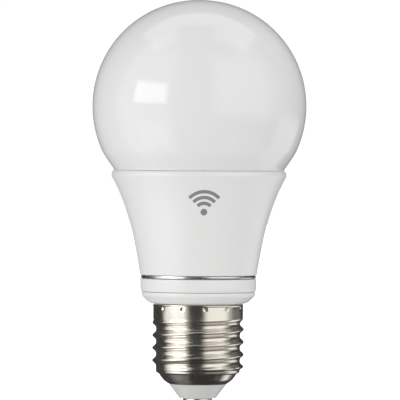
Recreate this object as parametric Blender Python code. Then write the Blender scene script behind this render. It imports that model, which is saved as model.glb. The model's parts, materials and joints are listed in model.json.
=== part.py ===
"""Smart light bulb with an E27 screw cap, as it comes apart on a bench.

Metres, +Z from the centre contact up to the globe, the lamp's front towards -Y. The origin is the
centre of the contact's flat end. Lengths are written in millimetres and multiplied by MM.
"""

import math

import bmesh
import bpy

MM = 0.001

# Screw cap, to the E27 standard
THREAD_PITCH = 3.629 * MM
THREAD_CREST_RADIUS = 13.2 * MM
THREAD_ROOT_RADIUS = 12.1 * MM
THREAD_CREST_HEIGHT = 21.24 * MM  # a crest's height on the +X side
THREAD_START = 9.1 * MM
THREAD_FULL_FROM = 10.6 * MM
THREAD_FULL_TO = 22.8 * MM
THREAD_END = 24.4 * MM
SKIRT_RADIUS = 12.95 * MM
SHELL_TOP = 28.4 * MM
SHELL_BOTTOM = 5.55 * MM
SHELL_WALL = 0.42 * MM
CONTACT_RADIUS = 4.2 * MM
CONTACT_TOP = 1.1 * MM
INSULATOR_BOTTOM = 1.4 * MM

# Housing
HOUSING_BOTTOM = 37.0 * MM
HOUSING_TOP = 66.7 * MM
HOUSING_WALL = 1.6 * MM
FLARE_HEIGHT = 28.5 * MM  # over which the flare's formula runs
MOUTH_RADIUS = 23.2 * MM
MOUTH_FLOOR = 62.3 * MM
NECK_TUBE_RADIUS = 15.6 * MM
NECK_TUBE_TOP = 39.5 * MM
COLLAR_RADIUS = 16.73 * MM
TRIM_RADIUS = 16.58 * MM

# Globe
GLOBE_RADIUS = 30.8 * MM
GLOBE_CENTRE = 85.36 * MM
GLOBE_WALL = 1.4 * MM
GLOBE_LIP = 67.05 * MM
GLOBE_NECK_RADIUS = 22.9 * MM
GLOBE_NECK_BOTTOM = 63.5 * MM

# Light engine
CUP_WALL = 1.2 * MM
CUP_BOTTOM = 41.0 * MM
CUP_TOP = 62.0 * MM
FLANGE_TOP = 60.2 * MM
FLANGE_INNER_RADIUS = 15.0 * MM
LED_BOARD_RADIUS = 19.6 * MM
LED_BOARD_BOTTOM = 61.1 * MM
LED_BOARD_TOP = 62.5 * MM
LED_COUNT = 12
LED_RING_RADIUS = 13.8 * MM
LED_HEIGHT = 0.7 * MM
SCREW_COUNT = 3
SCREW_RING_RADIUS = 17.2 * MM
WIRE_RADIUS = 0.5 * MM
LED_WIRE_X = 9.3 * MM

FIT_GAP = 0.3 * MM  # left between pieces that touch


def finish(name, colour, roughness, metallic=0.0):
    """A plain surface of one colour."""
    material = bpy.data.materials.new(name)
    material.use_nodes = True
    shader = material.node_tree.nodes["Principled BSDF"]
    shader.inputs["Base Color"].default_value = (*colour, 1.0)
    shader.inputs["Roughness"].default_value = roughness
    shader.inputs["Metallic"].default_value = metallic
    material.diffuse_color = (*colour, 1.0)
    return material


def place(name, mesh, material, location=(0.0, 0.0, 0.0)):
    """Add a mesh to the scene as one named sub-part."""
    mesh.materials.append(material)
    piece = bpy.data.objects.new(name, mesh)
    piece.location = location
    bpy.context.collection.objects.link(piece)
    return piece


def mesh_from(bm, name, smooth=True):
    """Close the bmesh's seams, turn its faces outwards and make it a mesh."""
    bmesh.ops.remove_doubles(bm, verts=bm.verts, dist=0.001 * MM)
    bmesh.ops.recalc_face_normals(bm, faces=bm.faces)
    mesh = bpy.data.meshes.new(name)
    bm.to_mesh(mesh)
    bm.free()
    if smooth:
        mesh.shade_smooth()
        mesh.set_sharp_from_angle(angle=math.radians(35))
    return mesh


def turned_mesh(name, outline, steps, ring=True):
    """Spin (radius, height) points once round Z; a ring's outline closes on itself."""
    bm = bmesh.new()
    verts = [bm.verts.new((radius, 0.0, height)) for radius, height in outline]
    pairs = list(zip(verts, verts[1:]))
    if ring:
        pairs.append((verts[-1], verts[0]))
    edges = [bm.edges.new(pair) for pair in pairs]
    bmesh.ops.spin(
        bm, geom=verts + edges, cent=(0, 0, 0), axis=(0, 0, 1), angle=math.tau, steps=steps, use_merge=True
    )
    return mesh_from(bm, name)


def turned(name, outline, material, steps=40, ring=True, location=(0.0, 0.0, 0.0)):
    """A turned sub-part on the lamp's axis, or at a place of its own."""
    return place(name, turned_mesh(name, outline, steps, ring), material, location)


def arc(radius, centre_height, start, end, count):
    """Points of a circle's arc in the (radius, height) plane, angles in degrees above level."""
    points = []
    for i in range(count + 1):
        angle = math.radians(start + (end - start) * i / count)
        points.append((radius * math.cos(angle), centre_height + radius * math.sin(angle)))
    return points


def box_mesh(name, size, bevel=0.0):
    """A block centred on its own origin, with its edges broken."""
    bm = bmesh.new()
    bmesh.ops.create_cube(bm, size=1.0)
    bmesh.ops.scale(bm, vec=size, verts=bm.verts)
    if bevel:
        bmesh.ops.bevel(bm, geom=bm.edges[:], offset=bevel, segments=1, affect="EDGES")
    return mesh_from(bm, name, smooth=False)


def block(name, low, high, material, bevel=0.15 * MM):
    """A block between two corners given in millimetres."""
    size = [(b - a) * MM for a, b in zip(low, high)]
    centre = [(a + b) / 2 * MM for a, b in zip(low, high)]
    return place(name, box_mesh(name, size, bevel), material, centre)


def plate(name, outline, back, front, material):
    """An upright board: an (x, z) outline in millimetres, extruded along Y from back to front."""
    bm = bmesh.new()
    verts = [bm.verts.new((x * MM, back * MM, z * MM)) for x, z in outline]
    face = bm.faces.new(verts)
    grown = bmesh.ops.extrude_face_region(bm, geom=[face])
    moved = [item for item in grown["geom"] if isinstance(item, bmesh.types.BMVert)]
    bmesh.ops.translate(bm, vec=(0, (front - back) * MM, 0), verts=moved)
    return place(name, mesh_from(bm, name, smooth=False), material)


def can(name, radius, bottom, top, x, y, material, steps=20):
    """An upright round component with a rounded foot and a broken top edge, in millimetres."""
    edge = 0.35
    half = (top - bottom) / 2
    outline = [
        (0, -half), (radius - edge, -half), (radius, -half + edge),
        (radius, half - edge), (radius - edge, half), (0, half),
    ]
    outline = [(r * MM, z * MM) for r, z in outline]
    location = (x * MM, y * MM, (bottom + top) / 2 * MM)
    return turned(name, outline, material, steps, ring=False, location=location)


def wire(name, points, material):
    """An insulated wire along a smooth run through (x, y, z) points in millimetres."""
    curve = bpy.data.curves.new(name, "CURVE")
    curve.dimensions = "3D"
    curve.bevel_depth = WIRE_RADIUS
    curve.bevel_resolution = 2
    curve.use_fill_caps = True
    curve.resolution_u = 4
    spline = curve.splines.new("BEZIER")
    spline.bezier_points.add(len(points) - 1)
    for knot, (x, y, z) in zip(spline.bezier_points, points):
        knot.co = (x * MM, y * MM, z * MM)
        knot.handle_left_type = "AUTO"
        knot.handle_right_type = "AUTO"
    curve.materials.append(material)
    piece = bpy.data.objects.new(name, curve)
    bpy.context.collection.objects.link(piece)
    return piece


def boolean(piece, tool, operation="DIFFERENCE"):
    """Combine a piece with a hidden tool object."""
    modifier = piece.modifiers.new(tool.name, "BOOLEAN")
    modifier.operation = operation
    modifier.object = tool
    tool.hide_render = True
    tool.display_type = "WIRE"


def ring_of_drills(name, holes, material):
    """One tool with an upright drill through the light engine at each (x, y, radius)."""
    bm = bmesh.new()
    for x, y, radius in holes:
        drill = bmesh.ops.create_cone(
            bm, cap_ends=True, segments=16, radius1=radius, radius2=radius, depth=12 * MM
        )
        bmesh.ops.translate(bm, vec=(x, y, FLANGE_TOP), verts=drill["verts"])
    return place(name, mesh_from(bm, name, smooth=False), material)


def blend(height, start, end):
    """0 below start, 1 above end, straight between."""
    return min(1.0, max(0.0, (height - start) / (end - start)))


def housing_radius(height):
    """The flare: a straight taper that opens with the cube of the height."""
    t = (height - HOUSING_BOTTOM) / FLARE_HEIGHT
    return (16.85 + 4.64 * t + 3.83 * t**3) * MM


def thread_swing(height):
    """How far the thread stands out and in: full along the cap, fading out at both ends."""
    half_depth = (THREAD_CREST_RADIUS - THREAD_ROOT_RADIUS) / 2
    rise = blend(height, THREAD_START, THREAD_FULL_FROM)
    fade = 1.0 - blend(height, THREAD_FULL_TO, THREAD_END)
    return half_depth * rise * fade


def shell_radius(height):
    """The shell's mean outer radius, widening from its first turn and again into the skirt."""
    middle = (THREAD_CREST_RADIUS + THREAD_ROOT_RADIUS) / 2
    first_turn = 12.05 * MM
    radius = first_turn + (middle - first_turn) * blend(height, THREAD_START, THREAD_FULL_FROM)
    return radius + (SKIRT_RADIUS - middle) * blend(height, THREAD_FULL_TO, THREAD_END)


def make_cap(nickel, insulator, contact_metal):
    """Centre contact, insulator and rolled screw shell."""
    contact_stem = 1.6 * MM
    turned(
        "centre_contact",
        [
            (0, 0), (3.8 * MM, 0), (CONTACT_RADIUS, 0.25 * MM), (CONTACT_RADIUS, CONTACT_TOP),
            (contact_stem, CONTACT_TOP), (contact_stem, 7.0 * MM), (0, 7.0 * MM),
        ],
        contact_metal, steps=32, ring=False,
    )
    bore = contact_stem + FIT_GAP
    turned(
        "cap_insulator",
        [
            (bore, INSULATOR_BOTTOM), (5.05 * MM, INSULATOR_BOTTOM), (5.4 * MM, 1.65 * MM),
            (8.2 * MM, 5.2 * MM), (7.65 * MM, 5.24 * MM), (7.65 * MM, 6.3 * MM), (9.1 * MM, 7.8 * MM),
            (9.1 * MM, 10.2 * MM), (bore, 10.2 * MM),
        ],
        insulator, steps=32,
    )

    foot = [(8.5 * MM, SHELL_BOTTOM), (9.6 * MM, 6.3 * MM), (10.55 * MM, 7.3 * MM), (11.25 * MM, 8.3 * MM)]
    rows_per_turn = 5
    rows = round((THREAD_END - THREAD_START) / THREAD_PITCH * rows_per_turn)
    step = (THREAD_END - THREAD_START) / rows
    heights = [THREAD_START + step * row for row in range(rows + 1)]
    threaded = [(shell_radius(height), height) for height in heights]
    lip_radius = SKIRT_RADIUS + 0.08 * MM
    lip = [(SKIRT_RADIUS, 27.7 * MM), (lip_radius, 28.0 * MM), (lip_radius, SHELL_TOP)]
    outer = foot + threaded + lip
    lean = 0.35 * MM  # the foot's wall leans, so its inner side sits higher as well as further in
    inner_foot = [(radius - SHELL_WALL * 0.8, height + lean) for radius, height in foot[1:]]
    inner = [(foot[0][0] - SHELL_WALL, foot[0][1])] + inner_foot
    inner += [(radius - SHELL_WALL, height) for radius, height in threaded + lip[-1:]]
    mesh = turned_mesh("screw_shell", outer + inner[::-1], steps=36)
    for vertex in mesh.vertices:
        x, y, height = vertex.co
        radius = math.hypot(x, y)
        turn = math.tau * (height - THREAD_CREST_HEIGHT) / THREAD_PITCH - math.atan2(y, x)
        scale = (radius + thread_swing(height) * math.cos(turn)) / radius
        vertex.co.x = x * scale
        vertex.co.y = y * scale
    place("screw_shell", mesh, nickel)


def make_base(white, chrome):
    """Base neck with its spigot, the collar band and the trim ring."""
    turned(
        "base_neck",
        [
            (NECK_TUBE_RADIUS, NECK_TUBE_TOP), (NECK_TUBE_RADIUS, 31.85 * MM), (16.4 * MM, 31.85 * MM),
            (16.35 * MM, 31.0 * MM), (15.85 * MM, 30.2 * MM), (14.95 * MM, 29.3 * MM), (13.9 * MM, 28.7 * MM),
            (12.15 * MM, 28.7 * MM), (12.15 * MM, 25.0 * MM), (11.2 * MM, 24.2 * MM), (11.2 * MM, 12.0 * MM),
            (9.8 * MM, 12.0 * MM), (9.8 * MM, 26.0 * MM), (14.2 * MM, 30.3 * MM), (14.2 * MM, NECK_TUBE_TOP),
        ],
        white,
    )
    bore = NECK_TUBE_RADIUS + FIT_GAP
    turned(
        "collar_ring",
        [
            (bore, 32.1 * MM), (16.5 * MM, 32.1 * MM), (COLLAR_RADIUS, 32.5 * MM),
            (COLLAR_RADIUS, 35.6 * MM), (16.55 * MM, 35.8 * MM), (bore, 35.8 * MM),
        ],
        white,
    )
    turned(
        "trim_ring",
        [
            (bore, 36.0 * MM), (16.48 * MM, 36.0 * MM), (TRIM_RADIUS, 36.1 * MM),
            (TRIM_RADIUS, 36.7 * MM), (16.48 * MM, 36.8 * MM), (bore, 36.8 * MM),
        ],
        chrome,
    )


def make_housing(white):
    """The flared shell, thin where it slides over the neck's tube, with a mouth for the globe."""
    flare_heights = [(37.0 + 27.7 * i / 8) * MM for i in range(9)]
    flare = [(housing_radius(height), height) for height in flare_heights]
    rim = [
        (25.0 * MM, 65.5 * MM), (24.92 * MM, 66.05 * MM), (24.66 * MM, 66.45 * MM),
        (24.1 * MM, HOUSING_TOP), (MOUTH_RADIUS, HOUSING_TOP), (MOUTH_RADIUS, MOUTH_FLOOR),
    ]
    ledge = NECK_TUBE_TOP + FIT_GAP
    lining_heights = [MOUTH_FLOOR, 57.0 * MM, 51.0 * MM, 45.0 * MM, ledge]
    lining = [(housing_radius(height) - HOUSING_WALL, height) for height in lining_heights]
    bore = NECK_TUBE_RADIUS + FIT_GAP
    turned("housing_shell", flare + rim + lining + [(bore, ledge), (bore, HOUSING_BOTTOM)], white)


def make_globe(opal, rubber):
    """The frosted globe, open below, and the seal ring that its neck stands on."""
    lip_angle = math.degrees(math.asin((GLOBE_LIP - GLOBE_CENTRE) / GLOBE_RADIUS))
    outside = arc(GLOBE_RADIUS, GLOBE_CENTRE, 90, lip_angle, 13)
    neck_inner = GLOBE_NECK_RADIUS - 1.3 * MM
    inner_radius = GLOBE_RADIUS - GLOBE_WALL
    inner_angle = -math.degrees(math.acos(neck_inner / inner_radius))
    inside = arc(inner_radius, GLOBE_CENTRE, inner_angle, 90, 8)
    neck = [
        (GLOBE_NECK_RADIUS, GLOBE_LIP),
        (GLOBE_NECK_RADIUS, GLOBE_NECK_BOTTOM),
        (neck_inner, GLOBE_NECK_BOTTOM),
    ]
    outside[0] = (0.0, outside[0][1])
    inside[-1] = (0.0, inside[-1][1])
    turned("diffuser_globe", outside + neck + inside, opal, ring=False)
    turned(
        "globe_seal_ring",
        [(21.95 * MM, 62.6 * MM), (22.85 * MM, 62.6 * MM), (22.85 * MM, 63.2 * MM), (21.95 * MM, 63.2 * MM)],
        rubber, steps=32,
    )


def make_heat_path(aluminium, pad, steel, board_white):
    """Heat sink cup, thermal pad, LED board and the screws that hold them together."""
    skin = HOUSING_WALL + FIT_GAP
    cup_heights = [CUP_BOTTOM, 48.0 * MM, 55.0 * MM, CUP_TOP]
    outside = [(housing_radius(height) - skin, height) for height in cup_heights]
    flange_bottom = FLANGE_TOP - CUP_WALL
    inside = [
        (housing_radius(CUP_TOP) - skin - CUP_WALL, CUP_TOP),
        (housing_radius(FLANGE_TOP) - skin - CUP_WALL, FLANGE_TOP),
        (FLANGE_INNER_RADIUS, FLANGE_TOP),
        (FLANGE_INNER_RADIUS, flange_bottom),
    ]
    for height in (flange_bottom, 55.0 * MM, 48.0 * MM, CUP_BOTTOM):
        inside.append((housing_radius(height) - skin - CUP_WALL, height))
    cup = turned("heat_sink_cup", outside + inside, aluminium, steps=32)

    pad_inner = FLANGE_INNER_RADIUS + FIT_GAP
    pad_outer, pad_bottom, pad_top = 19.4 * MM, 60.45 * MM, 60.85 * MM
    pad_outline = [
        (pad_inner, pad_bottom), (pad_outer, pad_bottom), (pad_outer, pad_top), (pad_inner, pad_top),
    ]
    thermal_pad = turned("thermal_pad", pad_outline, pad, steps=32)

    board_outline = [
        (0, LED_BOARD_BOTTOM), (LED_BOARD_RADIUS, LED_BOARD_BOTTOM),
        (LED_BOARD_RADIUS, LED_BOARD_TOP), (0, LED_BOARD_TOP),
    ]
    board = turned("led_board", board_outline, board_white, steps=32, ring=False)
    slot = block("board_slot_tool", (-6.3, -0.7, 58), (6.3, 0.7, 66), board_white, bevel=0.0)
    boolean(board, slot)

    screw_places = []
    for i in range(SCREW_COUNT):
        angle = math.radians(15 + i * 360 / SCREW_COUNT)
        screw_places.append((SCREW_RING_RADIUS * math.cos(angle), SCREW_RING_RADIUS * math.sin(angle)))
    screw_holes = [(x, y, 1.25 * MM) for x, y in screw_places]
    wire_holes = [(side * LED_WIRE_X, 1.7 * MM, 0.9 * MM) for side in (-1, 1)]
    screw_drills = ring_of_drills("screw_hole_tool", screw_holes, steel)
    wire_drills = ring_of_drills("wire_hole_tool", wire_holes, steel)
    for piece in (cup, thermal_pad, board):
        boolean(piece, screw_drills)
    boolean(board, wire_drills)

    shank, head, drive = 0.9 * MM, 1.6 * MM, 0.6 * MM
    screw_outline = [
        (0, -4.2 * MM), (shank * 0.6, -4.2 * MM), (shank, -3.8 * MM), (shank, 0), (head, 0), (head, 0.7 * MM),
        (head * 0.75, 1.1 * MM), (drive, 1.1 * MM), (drive, 0.5 * MM), (0, 0.5 * MM),
    ]
    for i, (x, y) in enumerate(screw_places, start=1):
        location = (x, y, LED_BOARD_TOP + FIT_GAP)
        turned(f"board_screw_{i}", screw_outline, steel, steps=12, ring=False, location=location)


def make_leds(phosphor):
    """Twelve packages in a ring, each with its long side along the radius."""
    mesh = box_mesh("led_package", (3.5 * MM, 2.8 * MM, LED_HEIGHT), 0.12 * MM)
    mesh.materials.append(phosphor)
    for i in range(LED_COUNT):
        angle = i * math.tau / LED_COUNT
        piece = bpy.data.objects.new(f"led_package_{i + 1:02d}", mesh)
        x = LED_RING_RADIUS * math.cos(angle)
        y = LED_RING_RADIUS * math.sin(angle)
        piece.location = (x, y, LED_BOARD_TOP + LED_HEIGHT / 2 + 0.2 * MM)
        piece.rotation_euler.z = angle
        bpy.context.collection.objects.link(piece)


def strip_outline(route, width):
    """Both edges of a flat strip whose route turns only at right angles."""
    left, right = [], []
    for i, (x, z) in enumerate(route):
        across_x, across_z = 0.0, 0.0
        for a, b in ((i - 1, i), (i, i + 1)):
            if a >= 0 and b < len(route):
                run_x, run_z = route[b][0] - route[a][0], route[b][1] - route[a][1]
                length = math.hypot(run_x, run_z)
                across_x -= run_z / length * width / 2
                across_z += run_x / length * width / 2
        left.append((x + across_x, z + across_z))
        right.append((x - across_x, z - across_z))
    return left + right[::-1]


def make_radio(laminate, steel, copper, black):
    """The wireless board that stands through the LED board, and what is on it."""
    board_outline = [(-6, 57.5), (6, 57.5), (6, 76.5), (5.5, 77), (-5.5, 77), (-6, 76.5)]
    plate("wireless_board", board_outline, 0.4, -0.4, laminate)
    block("wireless_shield_can", (-4.3, -2.2, 66.4), (4.3, -0.65, 73.4), steel, bevel=0.3 * MM)
    block("radio_crystal", (-1.6, 0.65, 67.0), (1.6, 1.45, 69.5), steel)

    route = []
    legs, pitch, low, high = 7, 1.5, 74.1, 76.3
    for leg in range(legs):
        x = (leg - (legs - 1) / 2) * pitch
        ends = [(x, low), (x, high)]
        route += ends if leg % 2 == 0 else ends[::-1]
    plate("antenna", strip_outline(route, 0.5), -0.45, -0.65, copper)

    socket = block("board_socket", (-7.6, -2.1, 62.8), (7.6, 2.1, 65.8), black, bevel=0.2 * MM)
    boolean(socket, bpy.data.objects["board_slot_tool"])


def make_driver(laminate, black, sleeve_plastic, can_skin, ferrite, copper, blue, red, ceramic):
    """The insulating sleeve, the driver board and its components."""
    turned(
        "driver_sleeve",
        [
            (13.0 * MM, 30.9 * MM), (13.8 * MM, 30.9 * MM), (13.8 * MM, 57.6 * MM),
            (11.9 * MM, 57.6 * MM), (11.9 * MM, 56.9 * MM), (13.0 * MM, 56.9 * MM),
        ],
        sleeve_plastic, steps=32,
    )
    half_width, tongue, tongue_top = 12.2, 8.9, 31.6
    plate(
        "driver_board",
        [
            (-tongue, 13.0), (tongue, 13.0), (tongue, tongue_top), (half_width, tongue_top),
            (half_width, 56.4), (-half_width, 56.4), (-half_width, tongue_top), (-tongue, tongue_top),
        ],
        0.6, -0.6, laminate,
    )
    can("bulk_capacitor", 4.5, 38.0, 54.0, -5.2, -5.6, can_skin, steps=24)
    can("output_capacitor", 3.5, 40.5, 53.5, 5.6, -4.7, can_skin, steps=24)
    block("film_capacitor", (-5.0, -6.7, 31.6), (5.0, -0.9, 37.4), red, bevel=0.5 * MM)
    can("choke_coil", 3.3, 16.0, 25.0, 3.6, -4.3, copper)
    can("fusible_resistor", 1.6, 15.5, 24.5, -3.4, 2.6, ceramic, steps=16)

    disc_outline = [(0, -1.5), (2.9, -1.5), (3.4, -0.9), (3.4, 0.9), (2.9, 1.5), (0, 1.5)]
    disc_outline = [(r * MM, z * MM) for r, z in disc_outline]
    disc = turned("varistor", disc_outline, blue, 20, ring=False, location=(-4.2 * MM, -2.5 * MM, 21.0 * MM))
    disc.rotation_euler.x = math.radians(90)

    block("bridge_rectifier", (-2.4, 0.8, 33.5), (2.4, 2.5, 37.5), black)
    block("driver_chip", (-8.0, 0.8, 37.5), (-3.2, 2.4, 42.5), black)
    block("switching_transistor", (1.8, 0.8, 37.5), (8.3, 3.1, 42.6), black)

    core = block("transformer_core", (-6.5, 3.2, 44.0), (6.5, 7.2, 55.0), ferrite, bevel=0.2 * MM)
    for side in (-1, 1):
        middle = side * 3.25
        low, high = (middle - 1.65, 2.0, 45.8), (middle + 1.65, 9.0, 53.2)
        window = block(f"core_window_tool_{side + 2}", low, high, ferrite, bevel=0.0)
        boolean(core, window)
    winding = block("transformer_winding", (-4.55, 1.0, 46.1), (4.55, 9.4, 52.9), copper, bevel=0.6 * MM)
    boolean(winding, block("winding_bore_tool", (-1.9, 2.9, 44.0), (1.9, 7.5, 55.0), copper, bevel=0.0))

    header = block("terminal_header", (-5.0, -3.4, 54.7), (5.0, -0.9, 57.1), black)
    for i in range(4):
        x = (i - 1.5) * 2.54
        low, high = (x - 0.3, -1.9, 56.0), (x + 0.3, -1.3, 60.3)
        pin = block(f"header_pin_tool_{i + 1}", low, high, black, bevel=0.0)
        boolean(header, pin, "UNION")


def make_wires(red, white, black):
    """Mains wires down to the cap, and the pair up to the LED board."""
    to_contact = [(1.6, -1.5, 15.3), (1.5, -1.5, 13.2), (0.4, -0.5, 10.6), (0, 0, 9.0), (0, 0, 7.4)]
    wire("live_wire", to_contact, red)
    to_shell = [
        (-2.6, -1.5, 15.3), (-2.8, -1.6, 13.0), (-5.2, -1.4, 11.15), (-8.0, -0.9, 11.1), (-10.4, -0.5, 11.1),
    ]
    wire("neutral_wire", to_shell, white)
    for name, side, material in (("led_wire_positive", 1, red), ("led_wire_negative", -1, black)):
        x = side * LED_WIRE_X / MM
        wire(name, [(x, 1.5, 46.0), (x, 1.6, 51.0), (x, 1.7, 57.0), (x, 1.7, 63.3)], material)


def main():
    for old in list(bpy.data.objects):
        bpy.data.objects.remove(old, do_unlink=True)

    white = finish("white_plastic", (0.86, 0.86, 0.84), 0.35)
    opal = finish("opal_plastic", (0.85, 0.86, 0.87), 0.55)
    nickel = finish("nickel_plate", (0.72, 0.68, 0.62), 0.22, metallic=1.0)
    chrome = finish("trim_chrome", (0.80, 0.80, 0.80), 0.10, metallic=1.0)
    insulator = finish("insulator_plastic", (0.72, 0.73, 0.74), 0.40)
    contact_metal = finish("contact_nickel", (0.70, 0.68, 0.64), 0.30, metallic=1.0)
    rubber = finish("seal_rubber", (0.80, 0.80, 0.78), 0.70)
    aluminium = finish("pressed_aluminium", (0.66, 0.67, 0.68), 0.40, metallic=1.0)
    steel = finish("plated_steel", (0.62, 0.62, 0.60), 0.30, metallic=1.0)
    pad = finish("thermal_pad_grey", (0.42, 0.44, 0.47), 0.80)
    board_white = finish("board_white", (0.88, 0.88, 0.86), 0.45)
    phosphor = finish("led_phosphor", (0.85, 0.72, 0.25), 0.40)
    laminate = finish("board_green", (0.05, 0.22, 0.10), 0.45)
    black = finish("moulded_black", (0.03, 0.03, 0.03), 0.50)
    sleeve_plastic = finish("sleeve_plastic", (0.80, 0.80, 0.76), 0.50)
    can_skin = finish("capacitor_sleeve", (0.04, 0.05, 0.08), 0.35)
    ferrite = finish("ferrite_grey", (0.10, 0.10, 0.11), 0.60)
    copper = finish("enamelled_copper", (0.60, 0.26, 0.10), 0.35, metallic=1.0)
    blue = finish("varistor_blue", (0.04, 0.12, 0.40), 0.45)
    red = finish("moulded_red", (0.50, 0.05, 0.03), 0.45)
    ceramic = finish("resistor_ceramic", (0.45, 0.50, 0.42), 0.55)

    make_cap(nickel, insulator, contact_metal)
    make_base(white, chrome)
    make_housing(white)
    make_globe(opal, rubber)
    make_heat_path(aluminium, pad, steel, board_white)
    make_leds(phosphor)
    make_radio(laminate, steel, copper, black)
    make_driver(laminate, black, sleeve_plastic, can_skin, ferrite, copper, blue, red, ceramic)
    make_wires(red, white, black)


main()
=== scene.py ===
import json
import math

import bpy
import numpy as np
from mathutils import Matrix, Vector


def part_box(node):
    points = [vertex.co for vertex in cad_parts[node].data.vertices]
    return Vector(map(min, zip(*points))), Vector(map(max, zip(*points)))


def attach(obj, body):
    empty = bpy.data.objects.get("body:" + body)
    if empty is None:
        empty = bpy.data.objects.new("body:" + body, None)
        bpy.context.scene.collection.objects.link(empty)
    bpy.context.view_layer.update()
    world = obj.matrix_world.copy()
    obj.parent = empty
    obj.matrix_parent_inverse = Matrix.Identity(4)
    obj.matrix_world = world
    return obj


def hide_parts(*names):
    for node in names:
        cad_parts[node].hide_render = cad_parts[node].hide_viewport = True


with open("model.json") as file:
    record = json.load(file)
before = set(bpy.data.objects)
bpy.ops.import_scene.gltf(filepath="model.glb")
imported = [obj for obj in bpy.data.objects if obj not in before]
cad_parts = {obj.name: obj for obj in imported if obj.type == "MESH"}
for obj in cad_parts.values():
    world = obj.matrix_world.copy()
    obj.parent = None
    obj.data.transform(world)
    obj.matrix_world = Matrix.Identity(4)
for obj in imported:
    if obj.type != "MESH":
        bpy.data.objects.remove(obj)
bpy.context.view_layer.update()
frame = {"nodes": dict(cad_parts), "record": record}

# An LED lamp: opal globe, flared white housing, bright trim ring, collar, neck and E27 cap.
# Every surface is worked out around the frame's own boxes, in metres, +Z along the lamp's axis.

mm = 0.001
turn = 2 * math.pi
sharpEdge = math.radians(40)    # edges that turn more than this are shaded sharp
straight = 0.02                 # in radians: a corner that turns less than this keeps its point
scene = bpy.context.scene
nodes = frame["nodes"]


def span(node):
    # lowest height, highest height and outer radius of a frame node that is round about the lamp's axis
    low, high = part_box(node)
    return low.z, high.z, (high.x - low.x) / 2


def give(socket, value):
    # a link for a signal, the socket's own value for anything else
    if isinstance(value, Signal):
        socket.id_data.links.new(value.socket, socket)
    else:
        socket.default_value = value


class Signal:
    # a value that runs along a link: arithmetic on it adds Math nodes

    def __init__(self, socket):
        self.socket = socket

    def math(self, operation, other=0.0, swapped=False):
        made = self.socket.id_data.nodes.new("ShaderNodeMath")
        made.operation = operation
        give(made.inputs[0], other if swapped else self)
        give(made.inputs[1], self if swapped else other)
        return Signal(made.outputs[0])

    def __add__(self, other):
        return self.math("ADD", other)

    def __sub__(self, other):
        return self.math("SUBTRACT", other)

    def __rsub__(self, other):
        return self.math("SUBTRACT", other, True)

    def __mul__(self, other):
        return self.math("MULTIPLY", other)

    def __truediv__(self, other):
        return self.math("DIVIDE", other)

    def __rtruediv__(self, other):
        return self.math("DIVIDE", other, True)

    def __neg__(self):
        return self.math("MULTIPLY", -1.0)

    __radd__ = __add__
    __rmul__ = __mul__


class Shader:
    # a node tree, and the one method that adds any other node to it

    def __init__(self, tree):
        self.tree = tree

    def node(self, kind, settings=None, inputs=None, output=0):
        made = self.tree.nodes.new(kind)
        for name, value in (settings or {}).items():
            setattr(made, name, value)
        for name, value in (inputs or {}).items():
            give(made.inputs[name], value)
        return Signal(made.outputs[output])

    def ease(self, value, low, high):
        # 0 below low, 1 above high, a smooth step between them
        ends = {"Value": value, "From Min": low, "From Max": high}
        return self.node("ShaderNodeMapRange", {"interpolation_type": "SMOOTHSTEP"}, ends)

    def mix(self, factor, first, second):
        ends = {0: factor, 6: first, 7: second}
        return self.node("ShaderNodeMix", {"data_type": "RGBA"}, ends, 2)

    def axes(self, vector):
        return [self.node("ShaderNodeSeparateXYZ", None, {0: vector}, i) for i in range(3)]


class Finish(Shader):
    # a Principled material on Object coordinates, with patterns sized in millimetres

    def __init__(self, name, look):
        material = bpy.data.materials.new(name)
        material.use_nodes = True
        super().__init__(material.node_tree)
        self.material = material
        self.shader = material.node_tree.nodes["Principled BSDF"]
        self.place = self.node("ShaderNodeTexCoord", output="Object")
        for title, value in look.items():
            give(self.shader.inputs[title], value)

    def set(self, title, value):
        give(self.shader.inputs[title], value)

    def tone(self, factor, dark, light):
        # the base colour, from dark where the factor is 0 to light where it is 1
        self.set("Base Color", self.mix(factor, (*dark, 1), (*light, 1)))

    def squashed(self, share):
        # coordinates on which a pattern becomes level lines: its x and y run at this share of their speed
        return self.node("ShaderNodeMapping", None, {"Vector": self.place, "Scale": (share, share, 1.0)})

    def noise(self, size, detail=2.0, roughness=0.5, vector=None):
        # soft random variation from 0 to 1 whose features are about size millimetres across
        return self.node("ShaderNodeTexNoise", None, {
            "Vector": vector or self.place, "Scale": 1 / (size * mm),
            "Detail": detail, "Roughness": roughness,
        })

    def bump(self, height, depth):
        # depth is the real height of the relief in millimetres
        self.set("Normal", self.node("ShaderNodeBump", None, {"Height": height, "Distance": depth * mm}))


def gridMesh(name, points, loop, finish):
    # a mesh on a grid of points[row, column]: columns wrap round, rows wrap when loop is true,
    # and otherwise the first and last row are poles, each one point on the axis
    rows, columns = points.shape[:2]
    if loop:
        ring = np.arange(rows * columns).reshape(rows, columns)
        upper, lower = ring, np.roll(ring, -1, axis=0)
        vertices = points.reshape(-1, 3)
        caps = np.zeros((0, 3), int)
    else:
        ring = 1 + np.arange((rows - 2) * columns).reshape(rows - 2, columns)
        upper, lower = ring[:-1], ring[1:]
        vertices = np.concatenate([points[0, :1], points[1:-1].reshape(-1, 3), points[-1, :1]])
        first, last = ring[0], ring[-1]
        top = np.stack([np.zeros_like(first), first, np.roll(first, -1)], 1)
        bottom = np.stack([np.full_like(last, len(vertices) - 1), np.roll(last, -1), last], 1)
        caps = np.concatenate([top, bottom])
    quads = np.stack([upper, lower, np.roll(lower, -1, axis=1), np.roll(upper, -1, axis=1)], -1)
    return arrayMesh(name, vertices, quads.reshape(-1, 4), caps, finish)


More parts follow.
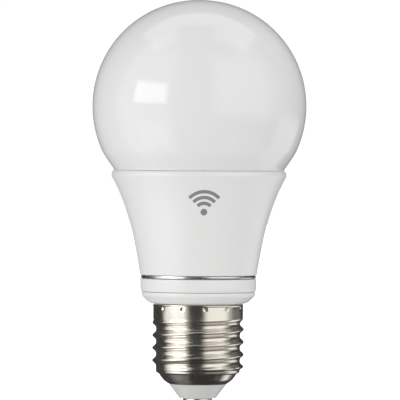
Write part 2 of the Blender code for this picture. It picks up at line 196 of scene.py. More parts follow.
def arrayMesh(name, vertices, quads, triangles, finish):
    # whole arrays of corners straight into a new mesh object at the origin
    mesh = bpy.data.meshes.new(name)
    corners = np.concatenate([quads.ravel(), triangles.ravel()]).astype(np.int32)
    sizes = np.concatenate([np.full(len(quads), 4), np.full(len(triangles), 3)]).astype(np.int32)
    starts = np.concatenate([[0], np.cumsum(sizes)[:-1]]).astype(np.int32)
    mesh.vertices.add(len(vertices))
    mesh.loops.add(len(corners))
    mesh.polygons.add(len(sizes))
    mesh.vertices.foreach_set("co", np.asarray(vertices, np.float32).ravel())
    mesh.loops.foreach_set("vertex_index", corners)
    mesh.polygons.foreach_set("loop_start", starts)
    mesh.update(calc_edges=True)
    mesh.validate()
    mesh.shade_smooth()
    mesh.set_sharp_from_angle(angle=sharpEdge)
    mesh.materials.append(finish.material)
    piece = bpy.data.objects.new(name, mesh)
    scene.collection.objects.link(piece)
    return piece


def filleted(corners, steps=5):
    # an outline through (radius, height, fillet) corners: each corner becomes an arc of radius fillet,
    # which starts and ends fillet / tan(half the angle between its two sides) from the corner
    corners = np.array(corners, float)
    spots, fillets = corners[:, :2], corners[:, 2]
    outline = []
    for i in range(len(spots)):
        spot, fillet = spots[i], fillets[i]
        inward = spots[i - 1] - spot
        outward = spots[(i + 1) % len(spots)] - spot
        inward, outward = inward / np.linalg.norm(inward), outward / np.linalg.norm(outward)
        between = math.acos(max(-1.0, min(1.0, float(inward @ outward))))
        if fillet <= 0 or between > math.pi - straight:
            outline.append(spot[None])
            continue
        bisector = (inward + outward) / np.linalg.norm(inward + outward)
        centre = spot + bisector * fillet / math.sin(between / 2)
        setback = fillet / math.tan(between / 2)
        start = np.arctan2(*(spot + inward * setback - centre)[::-1])
        end = np.arctan2(*(spot + outward * setback - centre)[::-1])
        sweep = (end - start + math.pi) % turn - math.pi
        angles = start + sweep * np.linspace(0, 1, steps)
        outline.append(centre + fillet * np.stack([np.cos(angles), np.sin(angles)], 1))
    return np.concatenate(outline)


def placed(corners, radius, height):
    # (out, up, fillet) corners in millimetres, counted from one radius and one height
    return [(radius + out * mm, height + up * mm, fillet * mm) for out, up, fillet in corners]


def closeSet(outline, spacing):
    # the same closed outline with extra points, so that no step along it is longer than spacing
    pieces = []
    for start, end in zip(outline, np.roll(outline, -1, axis=0)):
        count = max(1, math.ceil(np.linalg.norm(end - start) / spacing))
        pieces.append(start + (end - start) * np.arange(count)[:, None] / count)
    return np.concatenate(pieces)


def turned(r, z, angle):
    # (r cos a, r sin a, z): rows run along the outline, columns round the axis
    return np.stack([r * np.cos(angle), r * np.sin(angle), z + 0 * angle], -1)


def lathe(name, outline, around, finish, loop=True):
    # an outline of (r, z) carried round the axis through a = 0 to a whole turn;
    # outlines run down their outer side, so that the faces point out
    angle = np.arange(around) / around * turn
    return gridMesh(name, turned(outline[:, :1], outline[:, 1:], angle), loop, finish)


def seat(piece, slot, *replaced):
    # the piece rides on the lamp's one body, in place of its plain frame nodes
    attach(piece, "root")
    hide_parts(*replaced)


def ease(value, low, high):
    # the smooth step 3t^2 - 2t^3 of whole arrays
    t = np.clip((value - low) / (high - low), 0, 1)
    return t * t * (3 - 2 * t)


housingLook = {
    # pattern sizes and relief depths are in millimetres here and in the looks below
    "dark": (0.862, 0.862, 0.856),
    "light": (0.886, 0.886, 0.880),
    "flowSize": 26,
    "roughness": 0.25,
    "hazeRoughness": 0.10,      # added where the gloss is hazy
    "hazeSize": 9,
    "peelSize": 0.9,
    "pitSize": 0.15,
    "pitShare": 0.3,            # of the peel's height
    "relief": 0.0012,
}


def housingWhite(look):
    # glossy moulded white, with a moulder's flow tone and a fine orange peel
    made = Finish("housingWhite", {"IOR": 1.5})
    made.tone(made.noise(look["flowSize"], 3.0), look["dark"], look["light"])
    haze = made.noise(look["hazeSize"], 4.0)
    made.set("Roughness", look["roughness"] + look["hazeRoughness"] * haze)
    pits = look["pitShare"] * made.noise(look["pitSize"], 1.0)
    made.bump(made.noise(look["peelSize"]) + pits, look["relief"])
    return made


opalLook = {
    "dark": (0.866, 0.868, 0.870),
    "light": (0.886, 0.888, 0.890),
    "cloudSize": 34,
    "scatter": 0.4,             # share of the light that scatters inside the wall
    "scatterReach": 0.8 * mm,
    "roughness": 0.07,
    "smearRoughness": 0.04,
    "smearSize": 7,
    "rippleSize": 2.6,
    "relief": 0.0006,
}


def opalWhite(look):
    # clear-skinned plastic that scatters light inside
    made = Finish("opalWhite", {
        "IOR": 1.49, "Subsurface Weight": look["scatter"], "Subsurface Radius": (1.0, 1.0, 1.0),
        "Subsurface Scale": look["scatterReach"],
    })
    made.tone(made.noise(look["cloudSize"]), look["dark"], look["light"])
    smear = made.noise(look["smearSize"], 3.0)
    made.set("Roughness", look["roughness"] + look["smearRoughness"] * smear)
    made.bump(made.noise(look["rippleSize"]), look["relief"])
    return made


nickelLook = {
    "dark": (0.68, 0.63, 0.55),
    "light": (0.80, 0.765, 0.70),
    "stainSize": 5.5,
    "roughness": 0.12,
    "stainRoughness": 0.08,     # added where the stain is between these two and above
    "stainFrom": 0.35,
    "stainTo": 0.7,
    "lineRoughness": 0.05,
    "lineSize": 0.12,
    "lineSquash": 0.04,         # the lower, the longer the lines
    "dentSize": 1.3,
    "dentShare": 0.5,           # of the lines' height
    "relief": 0.003,
}


def nickelPlate(look):
    # bright nickel over drawn brass: warm, with turning lines round the cap and duller stains
    made = Finish("nickelPlate", {"Metallic": 1.0})
    stain = made.noise(look["stainSize"], 4.0, 0.6)
    made.tone(stain, look["dark"], look["light"])
    lines = made.noise(look["lineSize"], 3.0, 0.6, made.squashed(look["lineSquash"]))
    dull = look["stainRoughness"] * made.ease(stain, look["stainFrom"], look["stainTo"])
    made.set("Roughness", look["roughness"] + dull + look["lineRoughness"] * lines)
    made.bump(lines + look["dentShare"] * made.noise(look["dentSize"], 3.0), look["relief"])
    return made


chromeLook = {
    "dark": (0.66, 0.66, 0.66),
    "light": (0.72, 0.72, 0.72),
    "smudgeSize": 4,
    "roughness": 0.24,
    "smudgeRoughness": 0.08,
    "lineSize": 0.2,
    "lineSquash": 0.05,
    "relief": 0.0008,
}


def trimChrome(look):
    # softly polished chrome with turning lines and finger smudges
    made = Finish("trimChrome", {"Metallic": 1.0})
    smudge = made.noise(look["smudgeSize"], 3.0)
    made.tone(smudge, look["dark"], look["light"])
    made.set("Roughness", look["roughness"] + look["smudgeRoughness"] * smudge)
    lines = made.noise(look["lineSize"], 2.0, 0.5, made.squashed(look["lineSquash"]))
    made.bump(lines, look["relief"])
    return made


insulatorLook = {
    "dark": (0.62, 0.62, 0.61),
    "light": (0.70, 0.70, 0.69),
    "cloudSize": 3,
    "roughness": 0.28,
    "smearRoughness": 0.12,
    "smearSize": 1.2,
    "grainSize": 0.5,
    "relief": 0.003,
}


def insulatorPlastic(look):
    # pale satin plastic
    made = Finish("insulatorPlastic", {"IOR": 1.5})
    made.tone(made.noise(look["cloudSize"], 3.0), look["dark"], look["light"])
    smear = made.noise(look["smearSize"], 3.0)
    made.set("Roughness", look["roughness"] + look["smearRoughness"] * smear)
    made.bump(made.noise(look["grainSize"], 3.0), look["relief"])
    return made


contactLook = {
    "dark": (0.66, 0.63, 0.58),
    "light": (0.76, 0.74, 0.70),
    "stainSize": 1.8,
    "roughness": 0.2,
    "stainRoughness": 0.18,
    "scratchSize": 0.4,
    "relief": 0.004,
}


def contactNickel(look):
    # nickel that has been rubbed by a socket's spring
    made = Finish("contactNickel", {"Metallic": 1.0})
    stain = made.noise(look["stainSize"], 4.0)
    made.tone(stain, look["dark"], look["light"])
    made.set("Roughness", look["roughness"] + look["stainRoughness"] * stain)
    made.bump(made.noise(look["scratchSize"], 4.0), look["relief"])
    return made


markLook = {
    "dark": (0.235, 0.235, 0.24),
    "light": (0.30, 0.30, 0.305),
    "inkSize": 0.4,
    "roughness": 0.34,
    "glossRoughness": 0.1,
    "glossSize": 0.8,
}


def markGrey(look):
    # printed ink, a little uneven
    made = Finish("markGrey", {"IOR": 1.5})
    made.tone(made.noise(look["inkSize"], 3.0), look["dark"], look["light"])
    made.set("Roughness", look["roughness"] + look["glossRoughness"] * made.noise(look["glossSize"]))
    return made


housingFinish = housingWhite(housingLook)
opalFinish = opalWhite(opalLook)
nickelFinish = nickelPlate(nickelLook)
chromeFinish = trimChrome(chromeLook)
insulatorFinish = insulatorPlastic(insulatorLook)
contactFinish = contactNickel(contactLook)
markFinish = markGrey(markLook)
print("outer finishes done")


globe = {
    "wall": 1.4 * mm,
    "crownFlat": 0.18 * mm,     # how much lower the pole lies than a true sphere's
    "hipDraw": 0.36 * mm,       # how far the globe is drawn in above its lip
    "hipFrom": 12.8 * mm,       # depths below the middle between which it is drawn in
    "hipTo": 17.6 * mm,
    "neckWall": 1.3 * mm,
    "neckRound": 0.25 * mm,
    "rimRise": 0.18 * mm,       # how far the housing's rim fills the gap below the globe
    "seam": 0.03 * mm,          # what is left of that gap
    "lipHeight": 0.45 * mm,
    "lipDraw": 0.05 * mm,
    "lipRound": 0.2 * mm,
    "seatRound": 0.1 * mm,      # where the neck leaves the lip
    "around": 224,
    "rows": 150,
    "innerRows": 60,
}


def makeGlobe():
    # outer side: r = R cos t, z = c + R sin t - flat sin^6 t over the middle, drawn in over the lip;
    # the neck goes down inside the housing and the inner side comes back up a wall's thickness in
    neckBottom, top, radius = span("diffuser_globe")
    centre = top - radius
    lip = span("housing_shell")[1] + globe["rimRise"] + globe["seam"]
    lipTop = lip + globe["lipHeight"]
    t = np.linspace(math.pi / 2, math.asin((lipTop - centre) / radius), globe["rows"])
    z = centre + radius * np.sin(t) - globe["crownFlat"] * np.clip(np.sin(t), 0, 1) ** 6
    r = radius * np.cos(t) - globe["hipDraw"] * ease(centre - z, globe["hipFrom"], globe["hipTo"])
    r[0] = 0
    outside = np.stack([r, z], 1)
    neck = span("globe_seal_ring")[2]
    bore = neck - globe["neckWall"]
    plug = filleted([
        (r[-1], lipTop, 0), (r[-1] - globe["lipDraw"], lip, globe["lipRound"]),
        (neck, lip, globe["seatRound"]),
        (neck, neckBottom, globe["neckRound"]), (bore, neckBottom, globe["neckRound"]), (bore, lipTop, 0),
    ])[1:-1]
    hollow = radius - globe["wall"]
    s = np.linspace(-math.acos(bore / hollow), math.pi / 2, globe["innerRows"])
    inside = np.stack([hollow * np.cos(s), centre + hollow * np.sin(s)], 1)
    inside[-1, 0] = 0
    outline = np.concatenate([outside, plug, inside])
    piece = lathe("opal_globe", outline, globe["around"], opalFinish, loop=False)
    seat(piece, "opal_plastic", "diffuser_globe")


makeGlobe()
print("globe done")


stem = {
    # the neck's tube, inside the housing, the trim ring and the collar, and its spigot inside the cap
    "tube": 15.6 * mm,
    "play": 0.3 * mm,
    "wall": 1.4 * mm,
    "spigot": 12.15 * mm,
    "tail": 11.2 * mm,
    "spigotDepth": 3.7 * mm,    # depths and heights from the shoulder's foot
    "tailDepth": 4.5 * mm,
    "coneFrom": 2.7 * mm,       # the bore opens from the tail's to the tube's between these two
    "coneTo": 1.6 * mm,
    "coneRound": 0.5 * mm,
    "collarGap": 0.12 * mm,
    "capGap": 0.3 * mm,
    "edgeRound": 0.3 * mm,
    "cornerRound": 0.1 * mm,
    "shoulderDraw": 0.05 * mm,  # how far the shoulder's top lies in from its radius
    "shoulderRound": 0.12 * mm,
    # the shoulder's belly: out from its radius, up from its foot and fillet, in millimetres
    "shoulder": [(0, 2.25, 0.9), (-1.75, 0.5, 1.4), (-2.75, 0, 0.4)],
    "spacing": 0.9 * mm,
}

housing = {
    "foot": 16.85 * mm,         # radius at the trim ring
    "taper": 4.64 * mm,         # straight part of the flare
    "bell": 3.83 * mm,          # part that opens with the cube of the height
    "reach": 28.5 * mm,         # height over which both are counted
    "wall": 1.6 * mm,
    "lap": 0.1 * mm,            # how far it reaches down over the trim ring's gap
    "mouthGap": 0.35 * mm,      # round the seal ring
    "floorGap": 0.3 * mm,       # under the seal ring
    "mouthRound": 0.15 * mm,
    "rimHeight": 1.6 * mm,      # height of the rounded rim
    "rimStand": 0.02 * mm,      # how far its corner stands out from the frame's radius
    "rimRound": 0.95 * mm,
    "footHeight": 0.25 * mm,    # height of the broken bottom edge
    "footDraw": 0.01 * mm,
    "footRound": 0.14 * mm,
    "boreRound": 0.1 * mm,
    "around": 224,
    "rows": 90,
    "liningRows": 40,
}


def flare(z):
    # r = foot + taper t + bell t^3, with t from 0 at the trim ring to 1 at the rim
    t = (z - span("housing_shell")[0]) / housing["reach"]
    return housing["foot"] + housing["taper"] * t + housing["bell"] * t**3


def makeHousing():
    # the flare's outer side between a rounded rim and a broken bottom edge, and a lining a wall
    # further in
    bottom, top, radius = span("housing_shell")
    bottom, top = bottom - housing["lap"], top + globe["rimRise"]
    lower, upper = bottom + housing["footHeight"], top - housing["rimHeight"]
    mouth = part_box("globe_seal_ring")[1].x + housing["mouthGap"]
    floor = span("globe_seal_ring")[0] - housing["floorGap"]
    z = np.linspace(upper, lower, housing["rows"])
    side = np.stack([flare(z), z], 1)
    rim = filleted([
        (mouth, floor, 0), (mouth, top, housing["mouthRound"]),
        (radius + housing["rimStand"], top, housing["rimRound"]), (flare(upper), upper, 0),
    ], 9)[1:-1]
    ledge = span("base_neck")[1] + stem["play"]
    bore = stem["tube"] + stem["play"]
    foot = filleted([
        (flare(lower), lower, 0), (flare(bottom) - housing["footDraw"], bottom, housing["footRound"]),
        (bore, bottom, housing["boreRound"]), (bore, ledge, 0),
    ])[1:-1]
    z = np.linspace(ledge, floor, housing["liningRows"])
    lining = np.stack([flare(z) - housing["wall"], z], 1)
    outline = np.concatenate([side, foot, [[bore, ledge]], lining, [[mouth, floor]], rim])
    piece = lathe("flared_housing", outline, housing["around"], housingFinish)
    seat(piece, "white_plastic", "housing_shell")


makeHousing()
print("housing done")


band = {
    "trimDraw": 0.04 * mm,      # how far the trim ring's edges lie in from its crown
    "trimEdge": 0.06 * mm,
    "trimCrown": 0.6 * mm,
    "collarRound": 0.2 * mm,
    "collarDraw": 0.27 * mm,    # how far the collar's foot lies in
    "drawHeight": 0.9 * mm,
    "drawRound": 0.8 * mm,
    "footRound": 0.18 * mm,
    "spacing": 0.5 * mm,
    "around": 224,
}


def makeBand():
    # a crowned ring, and a straight band that is drawn in at its foot
    bore = stem["tube"] + stem["play"]
    low, high, radius = span("trim_ring")
    high = high - housing["lap"]
    edge = radius - band["trimDraw"]
    ring = filleted([
        (bore, high, 0), (edge, high, band["trimEdge"]), (radius, (low + high) / 2, band["trimCrown"]),
        (edge, low, band["trimEdge"]), (bore, low, 0),
    ], 7)
    seat(lathe("bright_trim", ring, band["around"], chromeFinish), "trim_chrome", "trim_ring")

    low, high, radius = span("collar_ring")
    collar = filleted([
        (bore, high, 0), (radius, high, band["collarRound"]),
        (radius, low + band["drawHeight"], band["drawRound"]),
        (radius - band["collarDraw"], low, band["footRound"]), (bore, low, 0),
    ], 7)
    collar = closeSet(collar, band["spacing"])
    seat(lathe("collar_band", collar, band["around"], housingFinish), "white_plastic", "collar_ring")


def makeNeck():
    # a tube inside the housing, a round shoulder below the collar and a spigot inside the cap
    low, high, radius = span("base_neck")
    shoulder = span("collar_ring")[0] - stem["collarGap"]
    under = span("screw_shell")[1] + stem["capGap"]
    tube, spigot, tail, wall = stem["tube"], stem["spigot"], stem["tail"], stem["wall"]
    edge, corner = stem["edgeRound"], stem["cornerRound"]
    profile = filleted([
        (tube, high, edge), (tube, shoulder, corner),
        (radius - stem["shoulderDraw"], shoulder, stem["shoulderRound"]),
        *placed(stem["shoulder"], radius, under),
        (spigot, under, corner), (spigot, under - stem["spigotDepth"], edge),
        (tail, under - stem["tailDepth"], edge), (tail, low, edge), (tail - wall, low, edge),
        (tail - wall, under - stem["coneFrom"], edge),
        (tube - wall, under + stem["coneTo"], stem["coneRound"]), (tube - wall, high, edge),
    ], 7)
    profile = closeSet(profile, stem["spacing"])
    seat(lathe("neck_shoulder", profile, band["around"], housingFinish), "white_plastic", "base_neck")


makeBand()
makeNeck()
print("trim, collar and neck done")


cap = {
    "pitch": 3.629 * mm,
    "crest": 13.2 * mm,         # radius over the thread
    "root": 12.1 * mm,          # radius between its turns
    "peak": 1.8,                # above 1, crests are narrower than the valleys between them
    "crestHeight": 21.24 * mm,  # height of a crest on the +X side
    "startHeight": 9.1 * mm,
    "fullFrom": 10.6 * mm,      # the thread has its full depth between these two heights
    "fullTo": 22.8 * mm,
    "endHeight": 24.4 * mm,
    "skirt": 12.95 * mm,
    "firstTurn": 12.05 * mm,    # radius below the thread
    "wall": 0.32 * mm,
    "dimpleHeight": 27.25 * mm,
    "dimples": 12,
    "dimplePhase": math.radians(9.4),
    "dimpleWide": 0.43 * mm,
    "dimpleDeep": 0.27 * mm,
    # outlines as out, up and fillet, in millimetres: the rolled lip from the skirt's top, and the bead
    # and bowl from the thread's start, round the bowl's end at the bottom and back up inside
    "lip": [
        (-0.02, -0.75, 0), (-0.04, -0.55, 0.2), (0.1, -0.32, 0.2), (0.1, 0, 0.12),
        (-0.32, 0, 0.1), (-0.32, -1, 0),
    ],
    "bowl": [(0, 0, 0), (-0.03, -0.3, 0.35), (-0.8, -0.7, 0.25), (-2.1, -2.5, 3)],
    "bowlEnd": [(-3.55, 0, 0.1), (-3.85, 0, 0.1), (-3.75, 0.45, 0.2)],
    "bowlInside": [(-2.4, -2.2, 2), (-1.3, -0.6, 0.6), (-0.4, 0.1, 0)],
    "sideFrom": 0.8 * mm,       # rows of the wall start this far under the top outside, and end so inside
    "insideTo": 0.9 * mm,
    "insideFrom": 0.3 * mm,
    "rowStep": 0.2 * mm,
    "insideStep": 0.4 * mm,
    "around": 360,
}


def capRadius(z):
    # the shell's mean radius: the first turn opens to the thread's middle, which opens to the skirt
    middle = (cap["crest"] + cap["root"]) / 2
    opened = cap["firstTurn"] + (middle - cap["firstTurn"]) * ease(z, cap["startHeight"], cap["fullFrom"])
    return opened + (cap["skirt"] - middle) * ease(z, cap["fullTo"], cap["endHeight"])


def capRelief(z, angle):
    # the thread, half its depth times 2 ((1 + cos) / 2)^peak - 1 with its crest along the helix
    # z = crestHeight + pitch angle / turn, which fades out at both ends, less a ring of punch marks,
    # deep exp(-(d / wide)^4) at a distance d from each centre
    half = (cap["crest"] - cap["root"]) / 2
    swing = ease(z, cap["startHeight"], cap["fullFrom"])
    swing = swing * (1 - ease(z, cap["fullTo"], cap["endHeight"]))
    wave = (1 + np.cos(turn * (z - cap["crestHeight"]) / cap["pitch"] - angle)) / 2
    thread = half * swing * (2 * wave ** cap["peak"] - 1)
    step = turn / cap["dimples"]
    off = (angle - cap["dimplePhase"] + step / 2) % step - step / 2
    distance = np.hypot(off * cap["skirt"], z - cap["dimpleHeight"])
    return thread - cap["dimpleDeep"] * np.exp(-(distance / cap["dimpleWide"]) ** 4)


def makeShell():
    # the mean radius plus the relief, outside and inside, between the lip and the bowl
    bottom, top, _ = span("screw_shell")
    first, start = cap["firstTurn"], cap["startHeight"]
    lip = filleted(placed(cap["lip"], cap["skirt"], top))[1:-1][::-1]
    z = np.arange(top - cap["sideFrom"], start, -cap["rowStep"])
    side = np.stack([capRadius(z), z], 1)
    bowl = filleted([
        *placed(cap["bowl"], first, start), *placed(cap["bowlEnd"], first, bottom),
        *placed(cap["bowlInside"], first, start),
    ])[:-1]
    z = np.arange(start + cap["insideFrom"], top - cap["insideTo"], cap["insideStep"])
    lining = np.stack([capRadius(z) - cap["wall"], z], 1)
    outline = np.concatenate([side, bowl, lining, lip])
    r, z = outline[:, :1], outline[:, 1:]
    angle = np.arange(cap["around"]) / cap["around"] * turn
    points = turned(r + capRelief(z, angle), z, angle)
    seat(gridMesh("rolled_shell", points, True, nickelFinish), "nickel_plate", "screw_shell")


capEnd = {
    "hole": 1.9 * mm,           # the insulator's bore
    "rim": 8.35 * mm,           # the cone's radius under the shell
    "flat": 5.3 * mm,           # its radius at the flat end
    "shellGap": 0.06 * mm,
    "plugHeight": 2.4 * mm,     # its straight side inside the shell
    "stepWide": 0.7 * mm,       # the step that the shell's end sits on
    "stepHeight": 0.8 * mm,
    "stepRound": 0.2 * mm,
    "cornerRound": 0.1 * mm,
    "rimRound": 0.12 * mm,
    "edgeRound": 0.3 * mm,
    "spacing": 0.5 * mm,
    "around": 160,
}

contact = {
    "pin": 1.6 * mm,            # its stem in the insulator's bore
    "gap": 0.04 * mm,
    "middle": 0.4 * mm,         # radius of the first ring round the axis
    "pinRound": 0.2 * mm,
    "cornerRound": 0.1 * mm,
    "backRound": 0.15 * mm,
    "faceRound": 0.4 * mm,
    "around": 96,
}


def makeInsulator():
    # a plug inside the shell, a step for the shell's end, and a cone down to the flat end
    low, high, radius = span("cap_insulator")
    shelf = span("screw_shell")[0] - capEnd["shellGap"]
    hole, rim = capEnd["hole"], capEnd["rim"]
    edge, corner = capEnd["edgeRound"], capEnd["cornerRound"]
    step = rim - capEnd["stepWide"]
    cone = filleted([
        (hole, low, 0), (hole, high, 0),
        (radius, high, edge), (radius, high - capEnd["plugHeight"], edge),
        (step, shelf + capEnd["stepHeight"], capEnd["stepRound"]), (step, shelf, corner),
        (rim, shelf, capEnd["rimRound"]), (capEnd["flat"], low, edge),
    ], 7)
    piece = lathe("insulator_cone", closeSet(cone, capEnd["spacing"]), capEnd["around"], insulatorFinish)
    seat(piece, "insulator_plastic", "cap_insulator")


def makeContact():
    # a round-edged button on a pin, set in the insulator's flat end
    low, high, radius = span("centre_contact")
    pin, middle = contact["pin"], contact["middle"]
    under = span("cap_insulator")[0] - contact["gap"]
    button = filleted([
        (middle, high, 0), (pin, high, contact["pinRound"]), (pin, under, contact["cornerRound"]),
        (radius, under, contact["backRound"]), (radius, low, contact["faceRound"]), (middle, low, 0),
    ], 7)
    button = np.concatenate([[[0, high]], button, [[0, low]]])
    piece = lathe("contact_button", button, contact["around"], contactFinish, loop=False)
    seat(piece, "contact_nickel", "centre_contact")


makeShell()
makeInsulator()
makeContact()
print("screw cap done")


mark = {
    "angle": math.radians(-90 + 4),    # its middle, round from the +X side
    "height": 55.2 * mm,               # the dot's centre
    "dot": 0.95 * mm,
    "arcs": [2.5 * mm, 4.15 * mm, 5.8 * mm],
    "stroke": 0.95 * mm,
    "halfOpen": math.radians(47),
    "lift": 0.02 * mm,
    "sink": 0.03 * mm,
    "steps": 40,
}


def wrapped(u, v, rise):
    # flat (u, v) laid on the flare: a = angle + u / r, z = height + v, at rise over the surface
    z = mark["height"] + v
    r = flare(z)
    a = mark["angle"] + u / r
    return np.stack([(r + rise) * np.cos(a), (r + rise) * np.sin(a), z], -1)


def makeMark():
    # a radio symbol, a dot with three arcs (R sin t, R cos t) over it: thin pads that follow the surface
    lift, sink, dot, steps = mark["lift"], -mark["sink"], mark["dot"], mark["steps"]
    vertices, quads, base = [], [], 0
    sweep = np.linspace(-mark["halfOpen"], mark["halfOpen"], steps)
    for radius in mark["arcs"]:
        near, far = radius - mark["stroke"] / 2, radius + mark["stroke"] / 2
        for level, rise in ((near, lift), (far, lift), (far, sink), (near, sink)):
            vertices.append(wrapped(level * np.sin(sweep), level * np.cos(sweep), rise))
        index = base + np.arange(4 * steps).reshape(4, steps)
        after = np.roll(index, -1, axis=0)
        sides = [index[:, :-1], index[:, 1:], after[:, 1:], after[:, :-1]]
        quads.append(np.stack(sides, -1).reshape(-1, 4))
        quads.append(np.array([index[:, 0], index[::-1, -1]]))
        base += 4 * steps

    ring = np.linspace(0, turn, steps + 1)[:-1]
    for rise in (lift, sink):
        vertices.append(wrapped(dot * np.cos(ring), dot * np.sin(ring), rise))
    vertices.append(np.stack([wrapped(0.0, 0.0, lift), wrapped(0.0, 0.0, sink)]))
    upper = base + np.arange(steps)
    lower = upper + steps
    nextUpper, nextLower = np.roll(upper, -1), np.roll(lower, -1)
    crown = np.full(steps, base + 2 * steps)
    quads.append(np.stack([upper, lower, nextLower, nextUpper], 1))
    face = np.stack([crown, upper, nextUpper], 1)
    back = np.stack([crown + 1, nextLower, lower], 1)
    faces = np.concatenate([face, back])
    piece = arrayMesh("printed_mark", np.concatenate(vertices), np.concatenate(quads), faces, markFinish)
    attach(piece, "root")


makeMark()
print("printed mark done")


insideLooks = {
    # slot: dark tone, light tone, metallic, roughness, grain size and relief depth in millimetres
    "seal_rubber": ((0.70, 0.70, 0.68), (0.78, 0.78, 0.76), 0, 0.65, 0.6, 0.004),
    "pressed_aluminium": ((0.60, 0.61, 0.62), (0.70, 0.71, 0.72), 1, 0.38, 0.3, 0.004),
    "plated_steel": ((0.58, 0.58, 0.57), (0.68, 0.68, 0.66), 1, 0.28, 0.4, 0.003),
    "thermal_pad_grey": ((0.36, 0.38, 0.41), (0.46, 0.48, 0.51), 0, 0.8, 0.25, 0.01),
    "board_white": ((0.84, 0.84, 0.82), (0.90, 0.90, 0.88), 0, 0.42, 1.5, 0.003),
    "led_phosphor": ((0.82, 0.64, 0.16), (0.88, 0.76, 0.30), 0, 0.4, 0.2, 0.004),
    "board_green": ((0.03, 0.17, 0.07), (0.06, 0.25, 0.12), 0, 0.4, 0.8, 0.01),
    "moulded_black": ((0.02, 0.02, 0.02), (0.045, 0.045, 0.045), 0, 0.5, 0.15, 0.004),
    "sleeve_plastic": ((0.76, 0.76, 0.72), (0.83, 0.83, 0.79), 0, 0.5, 2.0, 0.004),
    "capacitor_sleeve": ((0.03, 0.035, 0.06), (0.05, 0.06, 0.10), 0, 0.3, 1.2, 0.006),
    "ferrite_grey": ((0.07, 0.07, 0.08), (0.13, 0.13, 0.14), 0, 0.62, 0.2, 0.008),
    "enamelled_copper": ((0.52, 0.20, 0.07), (0.68, 0.32, 0.13), 1, 0.32, 0.25, 0.01),
    "varistor_blue": ((0.03, 0.09, 0.34), (0.06, 0.15, 0.46), 0, 0.42, 0.7, 0.01),
    "moulded_red": ((0.42, 0.03, 0.02), (0.56, 0.07, 0.04), 0, 0.42, 1.0, 0.004),
    "resistor_ceramic": ((0.38, 0.43, 0.35), (0.50, 0.55, 0.47), 0, 0.55, 0.4, 0.008),
}

insideGrain = {
    "toneSize": 3,              # size of the tone's pattern, in grains
    "toneDetail": 4.0,
    "glossSize": 5,             # size of the gloss's pattern, in grains
    "glossSpread": 0.12,        # roughness from the glossiest to the dullest spot
    "detail": 3.0,
}


def insideFinish(slot, dark, light, metallic, roughness, grain, relief):
    # a toned and grained finish for one slot of the pieces that the lamp holds
    made = Finish("inner_" + slot, {"Metallic": float(metallic)})
    made.tone(made.noise(grain * insideGrain["toneSize"], insideGrain["toneDetail"]), dark, light)
    gloss = made.noise(grain * insideGrain["glossSize"], insideGrain["detail"])
    spread = insideGrain["glossSpread"]
    made.set("Roughness", roughness - spread / 2 + spread * gloss)
    made.bump(made.noise(grain, insideGrain["detail"]), relief)
    return made


def dressInside():
    # every node that no piece replaces gets its slot's finish
    finishes = {slot: insideFinish(slot, *values) for slot, values in insideLooks.items()}
    finishes["white_plastic"] = housingFinish
    for part in frame["record"]["subparts"]:
        node = nodes[part["node"]]
        if node.hide_render:
            continue
        node.data.materials.clear()
        node.data.materials.append(finishes[part["material_slot"]].material)


dressInside()
print("inside dressed")


studio = {
    "backdrop": 1.02,
    "dark": 0.06,               # what bright metal mirrors between the panels
    "below": -0.02,             # added to it low down
    "belowFrom": -60,           # degrees
    "belowTo": -40,
}

# what gloss mirrors, in degrees: azimuth from and to (0 in front, - to the left), height from and to,
# soft edge, and how bright it is
panels = {
    "leftGlow": (-98, -30, -52, 60, 22, 1.05),
    "leftWindow": (-75, -36, 3, 22, 5, 3.9),
    "leftLow": (-76, -36, -38, -15, 8, 0.6),
    "right": (14, 98, -8, 58, 14, 0.5),
    "rightCore": (20, 82, -12, 45, 16, 0.65),
    "rightLow": (25, 100, -56, -28, 14, 0.35),
    "rightBack": (112, 148, 22, 50, 12, 0.12),
    "lowStrip": (98, 140, -46, -6, 12, 1.0),
    "floorGlow": (-160, -60, -75, -45, 12, 0.14),
}

# the ceiling that gloss mirrors, measured in its own height over the lamp: x to the right, y to the back
ceiling = {
    "x": (-0.8, 0.8, 0.08),     # from, to and soft edge
    "y": (-0.2, 0.6, 0.08),
    "light": 1.05,
    "lowest": (0.1, 0.2),       # it fades out between these two values of a direction's z
    "leastRise": 0.05,          # keeps the division below it finite
    "gapX": (-0.3, 0.2, 0.1),   # a darker gap in it, towards the front
    "gapY": (0.1, 0.2),
    "gapShare": 0.8,            # how much of its light is gone there
}

# light on matt surfaces from a direction: x to the right, front to the viewer, z up, and their products
softLight = {
    "even": 1.09,
    "x": -0.1,
    "front": -0.056,
    "z": 0.051,
    "xz": 0.34,
    "xFront": -0.045,
    "frontZ": -0.05,
    "zz": -0.42,
    "xx": -0.21,
}


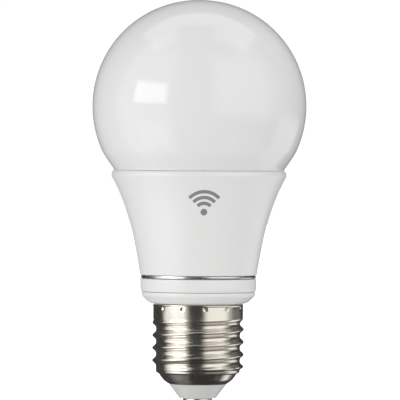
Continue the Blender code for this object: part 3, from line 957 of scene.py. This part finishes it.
def makeRoom():
    # gloss mirrors panels in a dark room, and matt surfaces get a soft light, quadratic in its direction
    world = bpy.data.worlds.new("studio")
    scene.world = world
    world.use_nodes = True
    world.cycles.sampling_method = "NONE"
    sky = Shader(world.node_tree)
    x, y, z = sky.axes(sky.node("ShaderNodeTexCoord", output="Generated"))
    front = -y
    azimuth = x.math("ARCTAN2", -y) * (360 / turn)
    height = z.math("ARCSINE") * (360 / turn)

    def panel(value, low, high, soft):
        # 1 between low and high, fading over soft at each side
        rise = sky.ease(value, low - soft / 2, low + soft / 2)
        return rise * (1 - sky.ease(value, high - soft / 2, high + soft / 2))

    low = 1 - sky.ease(height, studio["belowFrom"], studio["belowTo"])
    mirrored = studio["dark"] + studio["below"] * low
    for left, right, bottom, top, soft, light in panels.values():
        mirrored = mirrored + light * panel(azimuth, left, right, soft) * panel(height, bottom, top, soft)
    rise = z.math("MAXIMUM", ceiling["leastRise"])
    across, back = x / rise, y / rise
    overhead = panel(across, *ceiling["x"]) * panel(back, *ceiling["y"]) * sky.ease(z, *ceiling["lowest"])
    gap = panel(across, *ceiling["gapX"]) * (1 - sky.ease(back, *ceiling["gapY"]))
    mirrored = mirrored + ceiling["light"] * overhead * (1 - ceiling["gapShare"] * gap)

    s = softLight
    soft = s["even"] + s["x"] * x + s["front"] * front + s["z"] * z
    soft = soft + s["xz"] * x * z + s["xFront"] * x * front + s["frontZ"] * front * z
    soft = soft + s["zz"] * z * z + s["xx"] * x * x
    camera = sky.node("ShaderNodeLightPath", output="Is Camera Ray")
    matt = sky.node("ShaderNodeLightPath", output="Is Diffuse Ray")
    strength = studio["backdrop"] * camera + (1 - camera) * (matt * soft + (1 - matt) * mirrored)
    give(world.node_tree.nodes["Background"].inputs["Strength"], strength)
    give(world.node_tree.nodes["Background"].inputs["Color"], (1, 1, 1, 1))


ground = {
    "drop": 0.6,
    "half": 40.0,               # half its side
    "dark": (0.9, 0.9, 0.9),
    "light": (0.93, 0.93, 0.93),
    "cloudSize": 900,           # millimetres
    "roughness": 0.9,
    "glow": 0.8,
}


def makeFloor():
    # a wide pale sheet well below the lamp, which neither lights it nor shows in its gloss
    floor = Finish("floorWhite", {"Roughness": ground["roughness"]})
    floor.tone(floor.noise(ground["cloudSize"]), ground["dark"], ground["light"])
    floor.set("Emission Color", (1, 1, 1, 1))
    floor.set("Emission Strength", ground["glow"])
    half, z = ground["half"], -ground["drop"]
    corners = np.array([(-half, -half, z), (half, -half, z), (half, half, z), (-half, half, z)])
    sheet = arrayMesh("studio_floor", corners, np.array([[0, 1, 2, 3]]), np.zeros((0, 3), int), floor)
    sheet.visible_diffuse = False
    sheet.visible_glossy = False


view = {
    "distance": 1.3,
    "eye": 72.5 * mm,           # the camera's height
    "aim": Vector((0.33 * mm, 0, 58.4 * mm)),
    "frameWidth": 115.2 * mm,   # what the view takes in at the lamp
    "roll": math.radians(0.37),
    "sensor": 36,
    "nearest": 0.01,
    "farthest": 200,
}


def makeCamera():
    # a long lens that looks at the lamp's middle from a little above it
    camera = bpy.data.cameras.new("camera")
    camera.sensor_width = view["sensor"]
    camera.lens = view["sensor"] * view["distance"] / view["frameWidth"]
    camera.clip_start = view["nearest"]
    camera.clip_end = view["farthest"]
    eye = bpy.data.objects.new("camera", camera)
    scene.collection.objects.link(eye)
    eye.location = (view["aim"].x, -view["distance"], view["eye"])
    eye.rotation_euler = (view["aim"] - eye.location).to_track_quat("-Z", "Y").to_euler()
    eye.rotation_euler.rotate_axis("Z", view["roll"])
    scene.camera = eye
    scene.view_settings.view_transform = "Standard"


makeRoom()
makeFloor()
makeCamera()
print("studio done")
